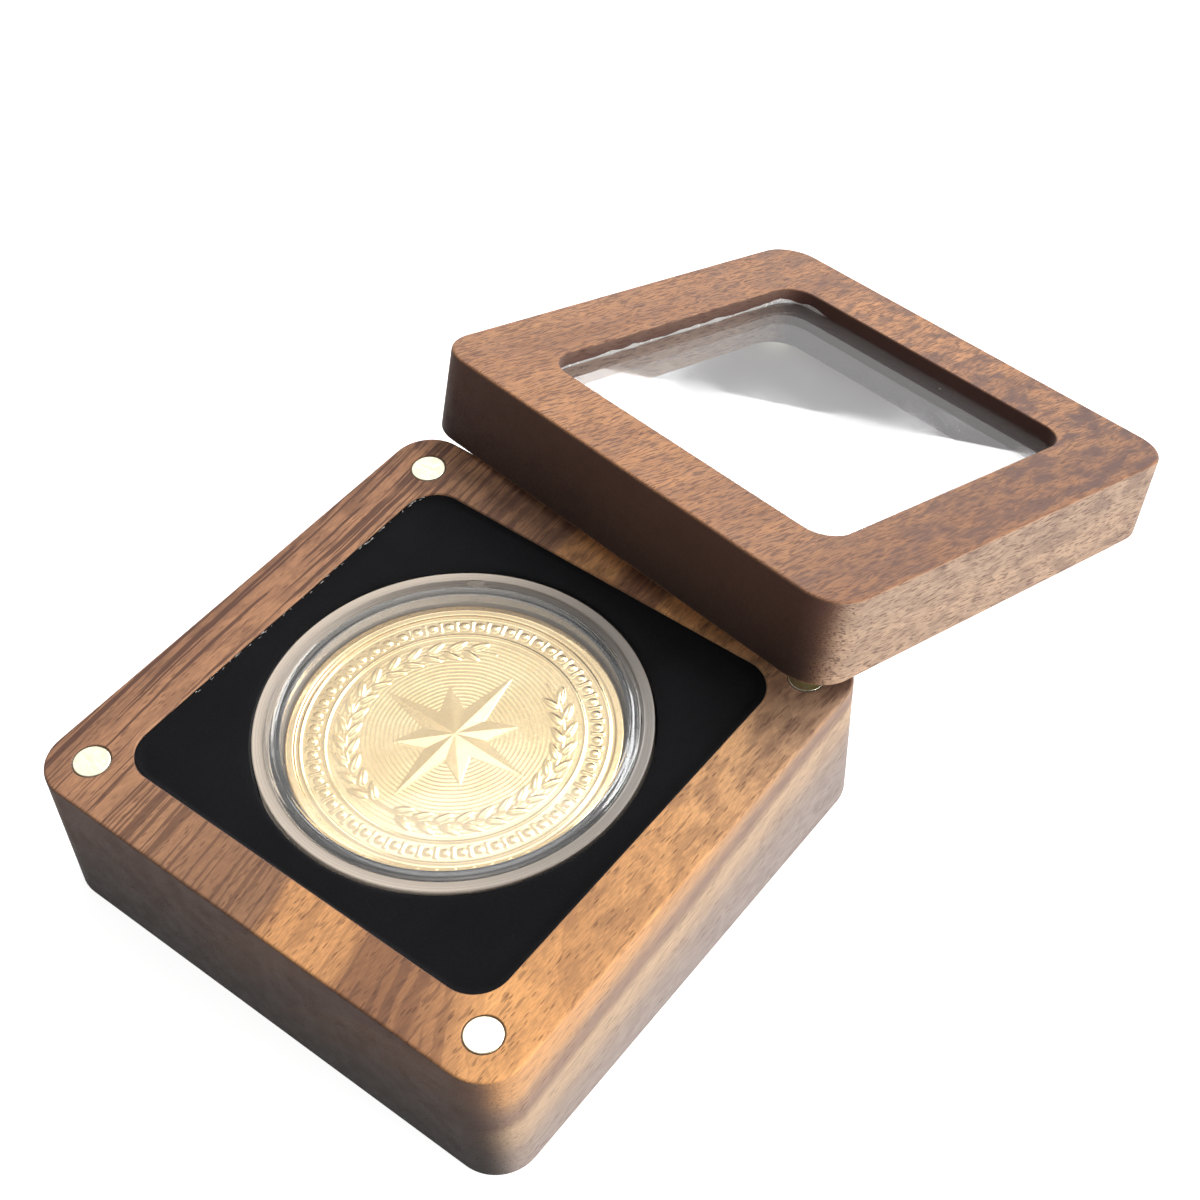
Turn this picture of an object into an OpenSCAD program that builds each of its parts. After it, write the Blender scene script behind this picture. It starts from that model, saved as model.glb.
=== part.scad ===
// Square wooden coin display case: a magnetic window lid leans on its open base,
// and a clear capsule with a coin sits in the velvet faced insert.
// The frame's origin is the centre of the base's underside.
// +X runs along the base's front side, +Y towards the lid, +Z up. Millimetres.

/* [Case] */
// Width and depth of the base and the lid
case_w = 70; // [68:0.5:84]
// Radius of the four upright corners
case_corner_r = 5.4; // [4.8:0.1:8]
// Height of the base
base_h = 20.8; // [17:0.1:30]
// Height of the lid
lid_h = 11.9; // [9:0.1:18]
// Width of the eased edge round each wooden face
edge_ease = 0.35; // [0.1:0.05:0.6]

/* [Recess and window] */
// Width of the square recess in the base and in the lid
recess_w = 54.8; // [52:0.1:56]
// Radius of the recess corners, where the magnets leave room for it
recess_corner_r = 4.5; // [2:0.1:6]
// Depth of the recess in the base
base_recess_d = 14; // [10:0.1:15]
// Width of the square window in the lid
window_w = 49.3; // [40:0.1:50.5]
// Radius of the window corners
window_corner_r = 4; // [2:0.1:6]
// Thickness of the lip round the window
lip_t = 2; // [1:0.1:3]
// Thickness of the clear pane under the lip
pane_t = 2; // [1:0.1:3]
// Gap between the pane's edge and the recess wall
pane_play = 0.2; // [0.1:0.05:0.5]
// Thickness of the clear adhesive between the lip and the pane
adhesive_t = 0.15; // [0.05:0.05:0.3]
// Width and height of the adhesive bead squeezed out along the window
bead_w = 0.45; // [0.2:0.05:0.8]

/* [Magnets] */
// Diameter of each disc magnet
magnet_d = 4.4; // [3:0.1:5]
// Thickness of each disc magnet
magnet_t = 3; // [2:0.1:4]
// Distance from the case's sides to each magnet's centre
magnet_inset = 5.5; // [5:0.1:6.5]
// Radial gap between a magnet and its pocket
magnet_play = 0.15; // [0.05:0.05:0.3]
// Depth of each magnet's face below the wood
magnet_sink = 0.05; // [0:0.05:0.3]
// Least wood between a magnet's pocket and the recess
magnet_wall = 0.8; // [0.4:0.1:1.2]

/* [Insert] */
// Gap between the insert and the recess wall
insert_play = 0.3; // [0.1:0.05:0.6]
// Depth of the velvet's face below the base's rim
insert_drop = 0.6; // [0.3:0.1:2]
// Thickness of the velvet facing
facing_t = 0.5; // [0.3:0.1:1]
// Radial gap between the capsule and its hole in the insert
seat_play = 0.35; // [0.2:0.05:0.8]
// Gap under the capsule where it rests on the pad
seat_gap = 0.2; // [0.1:0.05:0.4]

/* [Capsule] */
// Outer diameter of the capsule
capsule_d = 47; // [45.5:0.1:48]
// Total thickness of the closed capsule
capsule_t = 6.8; // [5.6:0.1:8]
// Thickness of the floor and of the cover
shell_t = 1.2; // [0.8:0.1:1.3]
// Width of the eased outer edges of the capsule
shell_ease = 0.4; // [0.1:0.05:0.6]
// Thickness of the inner wall round the coin
spigot_t = 1.3; // [0.8:0.1:1.5]
// Gap between the two shells
shell_play = 0.1; // [0.05:0.01:0.2]
// Depth of the capsule's top below the base's rim
capsule_drop = 0.4; // [0.2:0.1:1.5]
// Direction of the thumb notch, in degrees from +X
notch_az = 124; // [0:1:359]
// Length of the thumb notch
notch_l = 3; // [2:0.1:6]
// Depth of the thumb notch into the rim
notch_d = 0.8; // [0.4:0.1:1.2]
// Height of the thumb notch
notch_h = 0.8; // [0.4:0.1:1.2]

/* [Coin] */
// Diameter of the coin
coin_d = 40; // [37:0.1:40.2]
// Thickness of the coin at its rim
coin_t = 2.5; // [1.6:0.1:2.8]
// Radial gap between the coin and the capsule's inner wall
coin_play = 0.25; // [0.1:0.05:0.4]
// Gap under the coin
coin_gap = 0.1; // [0.05:0.05:0.2]
// Width of the coin's raised rim
rim_w = 1.1; // [0.6:0.1:2]
// Height of the rim above the field
rim_rise = 0.25; // [0.1:0.05:0.4]
// Height of the star above the field
star_rise = 0.15; // [0.05:0.05:0.2]
// Radius of the star's points
star_r = 11; // [6:0.1:14]
// Radius of the hollows between the star's points
star_inner_r = 4; // [2:0.1:5]
// Number of the star's points
star_points = 8; // [5:1:12]

/* [Lid at rest] */
// Length of the lid that lies over the base's rear edge, along the slope
lean_overhang = 9.75; // [4:0.05:14]
// Sideways distance of the lid's centre from the base's centre
lean_shift = 4.64; // [-8:0.01:8]
// Turn of the lid in its own plane, in degrees
lean_turn = -9.28; // [-15:0.01:15]
// Gap between the lid's underside and the base's top edge
lean_gap = 0.25; // [0.1:0.05:0.4]
// Height of the lid's lowest corner above the table
table_gap = 0.05; // [0.01:0.01:0.1]

/* [Hidden] */
$fn = 96;
corner_fn = 64;
magnet_fn = 48;

// Amount by which a cutting shape runs past the face it opens
cut = 1;

walnut = [0.45, 0.29, 0.19];
nickel = [0.88, 0.87, 0.83];
foam_black = [0.10, 0.10, 0.10];
velvet_black = [0.05, 0.05, 0.06];
clear_plastic = [0.80, 0.84, 0.86, 0.35];
pale_gold = [0.90, 0.76, 0.48];

// The corners in the order left, near, right, far
LEFT = [-1, -1];
NEAR = [1, -1];
RIGHT = [1, 1];
FAR = [-1, 1];

magnet_r = magnet_d / 2;
magnet_reach = case_w / 2 - magnet_inset;
pocket_r = magnet_r + magnet_play;
pocket_d = magnet_t + magnet_sink;

// A fillet of this radius leaves magnet_wall between each recess corner and the pocket
// that lies on the same diagonal
diagonal = sqrt(2);
clear_corner_r = (pocket_r + magnet_wall - (magnet_reach - recess_w / 2) * diagonal) / (diagonal - 1);
recess_r = max(recess_corner_r, clear_corner_r);

recess_floor_z = base_h - base_recess_d;
insert_w = recess_w - 2 * insert_play;
insert_corner_r = recess_r - insert_play;
capsule_z = base_h - capsule_drop - capsule_t;
pad_t = capsule_z - seat_gap - recess_floor_z;
facing_z = base_h - insert_drop - facing_t;
ring_z = recess_floor_z + pad_t;

capsule_r = capsule_d / 2;
seat_r = capsule_r + seat_play;
coin_r = coin_d / 2;
spigot_ir = coin_r + coin_play;
spigot_or = spigot_ir + spigot_t;
spigot_top_z = capsule_t - shell_t - shell_play;
skirt_ir = spigot_or + shell_play;
parting_z = capsule_t / 2;
coin_z = capsule_z + shell_t + coin_gap;
field_r = coin_r - rim_w;

pane_w = recess_w - 2 * pane_play;
pane_corner_r = recess_r - pane_play;
lip_z = lid_h - lip_t;
pane_z = lip_z - adhesive_t - pane_t;
bead_ir = window_corner_r - bead_w;

// The turned lid's farthest side reaches this far from its centre, along the slope
lid_corner_c = case_w / 2 - case_corner_r;
lid_reach = lid_corner_c * (abs(cos(lean_turn)) + abs(sin(lean_turn))) + case_corner_r;
lid_slope_y = lid_reach - lean_overhang;
contact_z = base_h + lean_gap;
lean_tilt = asin((contact_z - table_gap) / (lid_slope_y + lid_reach - edge_ease));

// A square plate with upright rounded corners, standing on z = 0
module rounded_plate(width, corner_r, height) {
    straight = width - 2 * corner_r;
    translate([-width / 2, -straight / 2, 0])
        cube([width, straight, height]);
    translate([-straight / 2, -width / 2, 0])
        cube([straight, width, height]);
    for (corner = [LEFT, NEAR, RIGHT, FAR])
        translate([corner.x * straight / 2, corner.y * straight / 2, 0])
            cylinder(r = corner_r, h = height, $fn = corner_fn);
}

// The side view of a wooden block: a rectangle whose four corners are cut at 45 degrees
function eased_outline(reach, height, ease) = [
    [-reach + ease, 0], [reach - ease, 0], [reach, ease], [reach, height - ease],
    [reach - ease, height], [-reach + ease, height], [-reach, height - ease], [-reach, ease]
];

// A rounded plate whose outer top and bottom edges are eased
module eased_plate(width, corner_r, height, ease) {
    straight = width - 2 * corner_r;
    for (turn = [0, 90])
        rotate([90, 0, turn])
            translate([0, 0, -straight / 2])
                linear_extrude(straight)
                    polygon(eased_outline(width / 2, height, ease));
    for (corner = [LEFT, NEAR, RIGHT, FAR])
        translate([corner.x * straight / 2, corner.y * straight / 2, 0])
            rotate_extrude($fn = corner_fn)
                polygon([
                    [0, 0], [corner_r - ease, 0], [corner_r, ease],
                    [corner_r, height - ease], [corner_r - ease, height], [0, height]
                ]);
}

// Carries the lid's pieces from the lid's own frame to where the lid leans
module leaning() {
    translate([lean_shift, case_w / 2, contact_z])
        rotate([-lean_tilt, 0, 0])
            translate([0, lid_slope_y, 0])
                rotate([0, 0, lean_turn])
                    children();
}

module magnet_pockets(mouth_z, depth) {
    for (corner = [LEFT, NEAR, RIGHT, FAR])
        translate([corner.x * magnet_reach, corner.y * magnet_reach, mouth_z])
            cylinder(r = pocket_r, h = depth, $fn = magnet_fn);
}

module disc_magnet(corner, bottom_z) {
    color(nickel)
        translate([corner.x * magnet_reach, corner.y * magnet_reach, bottom_z])
            cylinder(r = magnet_r, h = magnet_t, $fn = magnet_fn);
}

module base_block() {
    color(walnut)
        difference() {
            eased_plate(case_w, case_corner_r, base_h, edge_ease);
            translate([0, 0, recess_floor_z])
                rounded_plate(recess_w, recess_r, base_recess_d + cut);
            magnet_pockets(base_h - pocket_d, pocket_d + cut);
        }
}

module base_magnet(corner) {
    disc_magnet(corner, base_h - pocket_d);
}

module insert_pad() {
    color(foam_black)
        translate([0, 0, recess_floor_z])
            rounded_plate(insert_w, insert_corner_r, pad_t);
}

// A layer of the insert with the capsule's hole through it
module holed_layer(bottom_z, thickness) {
    translate([0, 0, bottom_z])
        difference() {
            rounded_plate(insert_w, insert_corner_r, thickness);
            translate([0, 0, -cut])
                cylinder(r = seat_r, h = thickness + 2 * cut);
        }
}

module insert_ring() {
    color(foam_black)
        holed_layer(ring_z, facing_z - ring_z);
}

module insert_facing() {
    color(velvet_black)
        holed_layer(facing_z, facing_t);
}

// The thumb notch at the seam, which opens the capsule
module thumb_notch() {
    rotate([0, 0, notch_az])
        translate([capsule_r - notch_d, -notch_l / 2, parting_z - notch_h / 2])
            cube([notch_d + cut, notch_l, notch_h]);
}

module capsule_bottom() {
    color(clear_plastic)
        translate([0, 0, capsule_z])
            difference() {
                rotate_extrude()
                    polygon([
                        [0, 0], [capsule_r - shell_ease, 0], [capsule_r, shell_ease],
                        [capsule_r, parting_z], [spigot_or, parting_z],
                        [spigot_or, spigot_top_z], [spigot_ir, spigot_top_z],
                        [spigot_ir, shell_t], [0, shell_t]
                    ]);
                thumb_notch();
            }
}

module capsule_cover() {
    color(clear_plastic)
        translate([0, 0, capsule_z])
            difference() {
                rotate_extrude()
                    polygon([
                        [0, capsule_t - shell_t], [skirt_ir, capsule_t - shell_t],
                        [skirt_ir, parting_z + shell_play], [capsule_r, parting_z + shell_play],
                        [capsule_r, capsule_t - shell_ease], [capsule_r - shell_ease, capsule_t],
                        [0, capsule_t]
                    ]);
                thumb_notch();
            }
}

// A star whose points and hollows alternate round the coin's centre
module star(height) {
    linear_extrude(height)
        polygon([
            for (i = [0 : 2 * star_points - 1])
                let (r = i % 2 == 0 ? star_r : star_inner_r, a = 180 * i / star_points)
                    [r * cos(a), r * sin(a)]
        ]);
}

module coin() {
    color(pale_gold)
        translate([0, 0, coin_z]) {
            rotate_extrude()
                polygon([
                    [0, rim_rise], [field_r, rim_rise], [field_r, 0], [coin_r, 0],
                    [coin_r, coin_t], [field_r, coin_t], [field_r, coin_t - rim_rise],
                    [0, coin_t - rim_rise]
                ]);
            translate([0, 0, coin_t / 2])
                star(coin_t / 2 - rim_rise + star_rise);
        }
}

module lid_frame() {
    color(walnut)
        leaning()
            difference() {
                eased_plate(case_w, case_corner_r, lid_h, edge_ease);
                translate([0, 0, -cut])
                    rounded_plate(recess_w, recess_r, lip_z + cut);
                rounded_plate(window_w, window_corner_r, lid_h + cut);
                magnet_pockets(-cut, pocket_d + cut);
            }
}

module lid_magnet(corner) {
    leaning()
        disc_magnet(corner, magnet_sink);
}

module window_pane() {
    color(clear_plastic)
        leaning()
            translate([0, 0, pane_z])
                rounded_plate(pane_w, pane_corner_r, pane_t);
}

// The adhesive film under the lip, with the bead squeezed up along the window's wall
module pane_adhesive() {
    color(clear_plastic)
        leaning()
            translate([0, 0, pane_z + pane_t])
                difference() {
                    union() {
                        rounded_plate(pane_w, pane_corner_r, adhesive_t);
                        rounded_plate(window_w, window_corner_r, adhesive_t + bead_w);
                    }
                    translate([0, 0, -cut])
                        rounded_plate(window_w - 2 * bead_w, bead_ir, adhesive_t + bead_w + 2 * cut);
                }
}

base_block();
base_magnet(LEFT);  // base_magnet_left
base_magnet(NEAR);  // base_magnet_near
base_magnet(RIGHT);  // base_magnet_right
base_magnet(FAR);  // base_magnet_far
insert_pad();
insert_ring();
insert_facing();
capsule_bottom();
coin();
capsule_cover();
lid_frame();
window_pane();
pane_adhesive();
lid_magnet(LEFT);  // lid_magnet_left
lid_magnet(NEAR);  // lid_magnet_near
lid_magnet(RIGHT);  // lid_magnet_right
lid_magnet(FAR);  // lid_magnet_far
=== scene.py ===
import random
from math import asin, atan2, cos, hypot, pi, radians, sin, sqrt

import bmesh
import bpy
import numpy as np
from mathutils import Matrix, Vector, noise


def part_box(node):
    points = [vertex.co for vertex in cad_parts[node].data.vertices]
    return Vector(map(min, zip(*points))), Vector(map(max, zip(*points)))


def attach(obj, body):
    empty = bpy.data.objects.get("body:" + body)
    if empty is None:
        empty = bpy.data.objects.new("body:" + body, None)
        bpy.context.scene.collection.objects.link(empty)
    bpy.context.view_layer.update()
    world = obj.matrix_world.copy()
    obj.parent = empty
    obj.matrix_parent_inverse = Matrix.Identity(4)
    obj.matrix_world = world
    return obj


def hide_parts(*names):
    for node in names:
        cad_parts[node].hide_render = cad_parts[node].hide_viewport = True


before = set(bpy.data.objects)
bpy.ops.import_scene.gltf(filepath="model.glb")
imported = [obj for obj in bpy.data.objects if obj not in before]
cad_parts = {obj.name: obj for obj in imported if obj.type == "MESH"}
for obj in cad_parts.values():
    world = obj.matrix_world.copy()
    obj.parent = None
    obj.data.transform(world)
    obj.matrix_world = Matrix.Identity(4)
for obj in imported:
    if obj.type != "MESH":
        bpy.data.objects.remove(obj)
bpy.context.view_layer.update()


# Camera: it looks down on the case from beyond the base's near corner.
# The axes were solved from the straight edges of the case, which fix the lens as well.
MM = 0.001
CAMERA_AT = Vector((108.14, -100.96, 205.54)) * MM
VIEW_RIGHT = Vector((0.788697, 0.613867, -0.033526))
VIEW_UP = Vector((-0.442001, 0.604099, 0.663098))
VIEW_BACK = Vector((0.427307, -0.508165, 0.747781))
LENS = 60.84
SENSOR_W = 36

camera_data = bpy.data.cameras.new("camera")
camera_data.lens = LENS
camera_data.sensor_width = SENSOR_W
camera_data.clip_start = 0.01
camera = bpy.data.objects.new("camera", camera_data)
camera_turn = Matrix((VIEW_RIGHT, VIEW_UP, VIEW_BACK)).transposed()
camera.matrix_world = Matrix.Translation(CAMERA_AT) @ camera_turn.to_4x4()
bpy.context.scene.collection.objects.link(camera)
bpy.context.scene.camera = camera
bpy.context.scene.view_settings.view_transform = "Standard"


# Base block: one square of solid walnut, its recess routed out and its four corners bored for
# magnets. The edges are eased by hand with fine paper, and the wood is oiled to a satin finish.
base_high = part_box("base_block")[1]
CASE_HALF = base_high.x
CASE_CORNER_R = 5.4 * MM
BASE_H = base_high.z
EASE = 0.35 * MM
RECESS_HALF = 27.4 * MM
RECESS_CORNER_R = 4.5 * MM
RECESS_DEPTH = 14 * MM
INNER_EASE = 0.15 * MM
MAGNET_AT = CASE_HALF - 5.5 * MM
POCKET_R = 2.35 * MM
POCKET_DEPTH = 3.05 * MM
POCKET_EASE = 0.08 * MM
CORNER_STEPS = 16
SIDE_STEPS = 40
POCKET_STEPS = 48
EASE_STEPS = 5
UNEVEN = 0.3
LIP_WEAR = 0.8
POCKET_WEAR = 0.6
MAGNET_SPOTS = {
    "left": (-MAGNET_AT, -MAGNET_AT), "near": (MAGNET_AT, -MAGNET_AT),
    "right": (MAGNET_AT, MAGNET_AT), "far": (-MAGNET_AT, MAGNET_AT)}


def outline(half, corner_r):
    """Points round a square with rounded corners, each with its outward direction."""
    core = half - corner_r
    path = []
    for quarter in range(4):
        turn = Matrix.Rotation(quarter * pi / 2, 2)
        for step in range(CORNER_STEPS + 1):
            angle = pi / 2 * step / CORNER_STEPS
            out = Vector((cos(angle), sin(angle)))
            path.append((turn @ (Vector((core, core)) + out * corner_r), turn @ out))
        for step in range(1, SIDE_STEPS):
            point = Vector((core - 2 * core * step / SIDE_STEPS, half))
            path.append((turn @ point, turn @ Vector((0, 1))))
    return path


def circle(centre, radius, steps):
    """Points round a circle, each with its outward direction."""
    path = []
    for step in range(steps):
        angle = 2 * pi * step / steps
        out = Vector((cos(angle), sin(angle)))
        path.append((Vector(centre) + out * radius, out))
    return path


def ring(bm, path, inset, z, edge=0.0, uneven=0.0):
    """One closed loop of vertices: the path moved inwards by inset, at height z.

    Edge is how far the wood is rubbed bare there; below zero it is how much painted shade darkens it.
    """
    wear_and_shade_layer = bm.verts.layers.float.get("edge") or bm.verts.layers.float.new("edge")
    made = []
    for point, out in path:
        wobble = 1 + uneven * (0.5 + 0.5 * noise.noise(Vector((point.x, point.y, z)) * 400))
        place = point - out * inset * wobble
        vert = bm.verts.new((place.x, place.y, z))
        vert[wear_and_shade_layer] = edge
        made.append(vert)
    return made


def bridge(bm, first, second):
    """Joins two loops of as many vertices with a band of faces."""
    count = len(first)
    for i in range(count):
        j = (i + 1) % count
        bm.faces.new((first[i], first[j], second[j], second[i]))


def loft(bm, loops):
    """Joins each loop to the next."""
    for first, second in zip(loops, loops[1:]):
        bridge(bm, first, second)


def band(bm, path, steps, closed=False):
    """Lofts loops of one path, each at an (inset, height, edge) step, and returns them."""
    loops = [ring(bm, path, *step) for step in steps]
    loft(bm, loops + loops[:1] if closed else loops)
    return loops


def fill(bm, *loops):
    """Fills the flat area between closed loops; the inner loops stay open as holes."""
    edges = []
    for loop in loops:
        for i, vert in enumerate(loop):
            pair = (vert, loop[(i + 1) % len(loop)])
            edges.append(bm.edges.get(pair) or bm.edges.new(pair))
    bmesh.ops.triangle_fill(bm, use_beauty=True, use_dissolve=False, edges=edges)


def eased_rings(bm, path, ease, z, rise):
    """The loops of a rounded edge, from the wall at z to the face at z + rise."""
    loops = []
    for step in range(EASE_STEPS + 1):
        angle = pi / 2 * step / EASE_STEPS
        inset = ease * (1 - cos(angle))
        height = z + rise * sin(angle)
        loops.append(ring(bm, path, inset, height, sin(2 * angle), UNEVEN if step else 0))
    return loops


def block_walls(bm, path, height, ease):
    """A block's outer walls with their rounded edges; returns the loops round its foot and top."""
    foot_edge = eased_rings(bm, path, ease, ease, -ease)
    top_edge = eased_rings(bm, path, ease, height - ease, ease)
    bridge(bm, foot_edge[0], top_edge[0])
    loft(bm, foot_edge)
    loft(bm, top_edge)
    return foot_edge[-1], top_edge[-1]


def pocket(bm, centre, mouth_z, direction):
    """A blind round hole for a magnet; returns its loop at the mouth."""
    loops = band(bm, circle(centre, POCKET_R, POCKET_STEPS), (
        (-POCKET_EASE, mouth_z), (0, mouth_z - direction * POCKET_EASE, POCKET_WEAR),
        (0, mouth_z - direction * POCKET_DEPTH)))
    fill(bm, loops[-1])
    return loops[0]


def finish_piece(name, bm, material, body, replaced=(), matrix=None, sharp=35):
    """Turns a bmesh into a piece that rides on a body and stands for CAD nodes."""
    bmesh.ops.recalc_face_normals(bm, faces=bm.faces)
    mesh = bpy.data.meshes.new(name)
    bm.to_mesh(mesh)
    bm.free()
    if matrix:
        mesh.transform(matrix)
    mesh.shade_smooth()
    mesh.set_sharp_from_angle(angle=radians(sharp))
    mesh.materials.append(material)
    piece = bpy.data.objects.new(name, mesh)
    bpy.context.scene.collection.objects.link(piece)
    weighted = piece.modifiers.new("weighted normals", "WEIGHTED_NORMAL")
    weighted.keep_sharp = True
    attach(piece, body)
    if replaced:
        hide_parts(*replaced)
    return piece


def feed(tree, node, inputs):
    """Sets a node's inputs: each is a value or the socket that feeds it."""
    for key, value in inputs.items():
        if isinstance(value, bpy.types.NodeSocket):
            tree.links.new(value, node.inputs[key])
        else:
            node.inputs[key].default_value = value


def add_node(tree, kind, inputs=None, **settings):
    made = tree.nodes.new("ShaderNode" + kind)
    for key, value in settings.items():
        setattr(made, key, value)
    feed(tree, made, inputs or {})
    return made


def calc(tree, operation, *values, clamp=False):
    made = add_node(tree, "Math", dict(enumerate(values)), operation=operation, use_clamp=clamp)
    return made.outputs[0]


def times(tree, first, second, clamp=False):
    return calc(tree, "MULTIPLY", first, second, clamp=clamp)


def vector_calc(tree, operation, *values, output="Vector"):
    made = add_node(tree, "VectorMath", dict(enumerate(values)), operation=operation)
    return made.outputs[output]


def object_place(tree):
    return add_node(tree, "TexCoord").outputs["Object"]


def stretch(tree, vector, factors):
    return vector_calc(tree, "MULTIPLY", vector, factors)


def noise_value(tree, vector, scale, detail=2.0, roughness=0.5, output="Fac"):
    made = add_node(tree, "TexNoise", {
        "Vector": vector, "Scale": scale, "Detail": detail, "Roughness": roughness})
    return made.outputs[output]


def remap(tree, value, low, high, to_low=0.0, to_high=1.0):
    made = add_node(tree, "MapRange", {
        "Value": value, "From Min": low, "From Max": high, "To Min": to_low, "To Max": to_high},
        interpolation_type="SMOOTHSTEP")
    return made.outputs[0]


def mix_color(tree, factor, first, second):
    made = add_node(tree, "Mix", {0: factor, 6: first, 7: second}, data_type="RGBA")
    return made.outputs[2]


def new_group(name, inputs, outputs):
    """A shader node group; returns it, its given sockets and the node that takes its results."""
    group = bpy.data.node_groups.new(name, "ShaderNodeTree")
    for way, sockets in (("INPUT", inputs), ("OUTPUT", outputs)):
        for kind, labels in sockets.items():
            for label in labels:
                group.interface.new_socket(label, in_out=way, socket_type="NodeSocket" + kind)
    return group, group.nodes.new("NodeGroupInput").outputs, group.nodes.new("NodeGroupOutput")


def new_material(name):
    """A material with its Principled shader linked up; returns it, its tree and the shader."""
    material = bpy.data.materials.new(name)
    material.use_nodes = True
    tree = material.node_tree
    return material, tree, tree.nodes["Principled BSDF"]


def add_bump(tree, shader, height, strength, distance):
    made = add_node(tree, "Bump", {"Height": height, "Strength": strength, "Distance": distance})
    feed(tree, shader, {"Normal": made.outputs["Normal"]})


walnut_log, given, log_out = new_group("walnut log", {
    "Vector": ("Vector",), "Float": ("Pith X", "Pith Z", "Wander", "Curl")},
    {"Vector": ("Place",), "Float": ("Ring",)})


def shifted(tree, place, scales, amount):
    """The place moved about by a slow noise, in millimetres."""
    drift = noise_value(tree, stretch(tree, place, scales), 1.0, 1.0, output="Color")
    drift = vector_calc(tree, "SUBTRACT", drift, (0.5, 0.5, 0.5))
    drift = add_node(tree, "VectorMath", {0: drift, "Scale": amount}, operation="SCALE")
    return vector_calc(tree, "ADD", place, drift.outputs[0])


in_mm = stretch(walnut_log, given["Vector"], (1000, 1000, 1000))
bent = shifted(walnut_log, in_mm, (0.045, 0.012, 0.045), given["Wander"])
bent = shifted(walnut_log, bent, (0.3, 0.22, 0.3), given["Curl"])
split = add_node(walnut_log, "SeparateXYZ", {0: bent})
across = calc(walnut_log, "SUBTRACT", split.outputs[0], given["Pith X"])
upward = calc(walnut_log, "SUBTRACT", split.outputs[2], given["Pith Z"])
squares = calc(walnut_log, "ADD", times(walnut_log, across, across), times(walnut_log, upward, upward))
feed(walnut_log, log_out, {"Place": bent, "Ring": calc(walnut_log, "SQRT", squares)})

skin, given, skin_out = new_group("walnut surface", {
    "Color": ("Ring Color", "Dark Wood", "Painted Sheen Color", "End Color"),
    "Vector": ("Place", "Normal", "Darkening Way"),
    "Float": ("Ring", "Ring Lines", "Line Gap", "Line Depth", "Stroke Width", "Stroke Length",
              "Stroke Share", "Stroke Depth", "Pore Depth", "Mottle Depth", "Painted Side Sheen",
              "Painted Shade From", "Painted Shade To")},
    {"Color": ("Color",), "Float": ("Roughness", "Height")})
place = given["Place"]
split = add_node(skin, "SeparateXYZ", {0: place})
ring_place = add_node(skin, "CombineXYZ", {
    0: calc(skin, "DIVIDE", given["Ring"], given["Line Gap"]),
    1: times(skin, split.outputs[1], 0.03),
    2: times(skin, split.outputs[2], 0.03)})
normal_split = add_node(skin, "SeparateXYZ", {0: given["Normal"]})
end_mask = remap(skin, calc(skin, "ABSOLUTE", normal_split.outputs[1]), 0.35, 0.95)
side_mask = remap(skin, calc(skin, "ABSOLUTE", normal_split.outputs[0]), 0.5, 0.98)
# The mottling deepens along a given way, up to a limit; on the base this is towards the lid.
slope = vector_calc(skin, "DOT_PRODUCT", place, given["Darkening Way"], output="Value")
strength = calc(skin, "MINIMUM", calc(skin, "ADD", slope, 1.0), 2.2)

# Fine dark lines follow the rings and break off along the grain; they fade on the block's sides.
lines = remap(skin, noise_value(skin, ring_place.outputs[0], 1.0, 1.0), 0.485, 0.435)
broken = remap(skin, noise_value(skin, stretch(skin, place, (0.5, 0.06, 0.5)), 1.0, 2.0), 0.28, 0.42)
line_depth = times(skin, given["Line Depth"], given["Ring Lines"])
line_depth = times(skin, line_depth, calc(skin, "MULTIPLY_ADD", side_mask, -0.55, 1.0))
lines = times(skin, times(skin, lines, broken), line_depth)

# Short dark strokes and open pores lie along the grain.
stroke_wide = calc(skin, "DIVIDE", 1.0, given["Stroke Width"])
stroke_long = calc(skin, "DIVIDE", 1.0, given["Stroke Length"])
stroke_scale = add_node(skin, "CombineXYZ", {0: stroke_wide, 1: stroke_long, 2: stroke_wide})
stroke_noise = noise_value(skin, stretch(skin, place, stroke_scale.outputs[0]), 1.0, 1.5, 0.55)
stroke_share = calc(skin, "MULTIPLY_ADD", side_mask, -0.05, given["Stroke Share"])
strokes = remap(skin, calc(skin, "SUBTRACT", stroke_noise, stroke_share), 0.035, -0.045)
strokes = times(skin, strokes, given["Stroke Depth"])
pore_cells = add_node(skin, "TexVoronoi", {
    "Vector": stretch(skin, place, (2.4, 0.42, 2.4)), "Scale": 1.0, "Randomness": 1.0})
pore_some = add_node(skin, "SeparateColor", {0: pore_cells.outputs["Color"]})
pores = times(skin, remap(skin, pore_cells.outputs["Distance"], 0.3, 0.14),
             remap(skin, pore_some.outputs[0], 0.45, 0.6))
pore_dark = times(skin, pores, given["Pore Depth"])

# The fibres and a soft mottling shade it, the ends are darker and get painted shade towards their foot, and
# rubbed edges and the painted shade of the lid's inner walls show last.
fibres = noise_value(skin, stretch(skin, place, (5.0, 0.5, 5.0)), 1.0, 3.0, 0.6)
mottle = noise_value(skin, stretch(skin, place, (0.45, 0.2, 0.45)), 1.0, 3.0, 0.6)
strength = times(skin, strength, calc(skin, "MULTIPLY_ADD", side_mask, -0.5, 1.0))
mottle_depth = times(skin, given["Mottle Depth"], strength)
mottle_dark = times(skin, remap(skin, mottle, 0.6, 0.36), mottle_depth, clamp=True)
fibre_dark = remap(skin, fibres, 0.65, 0.35, 0.0, 0.26)
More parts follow.
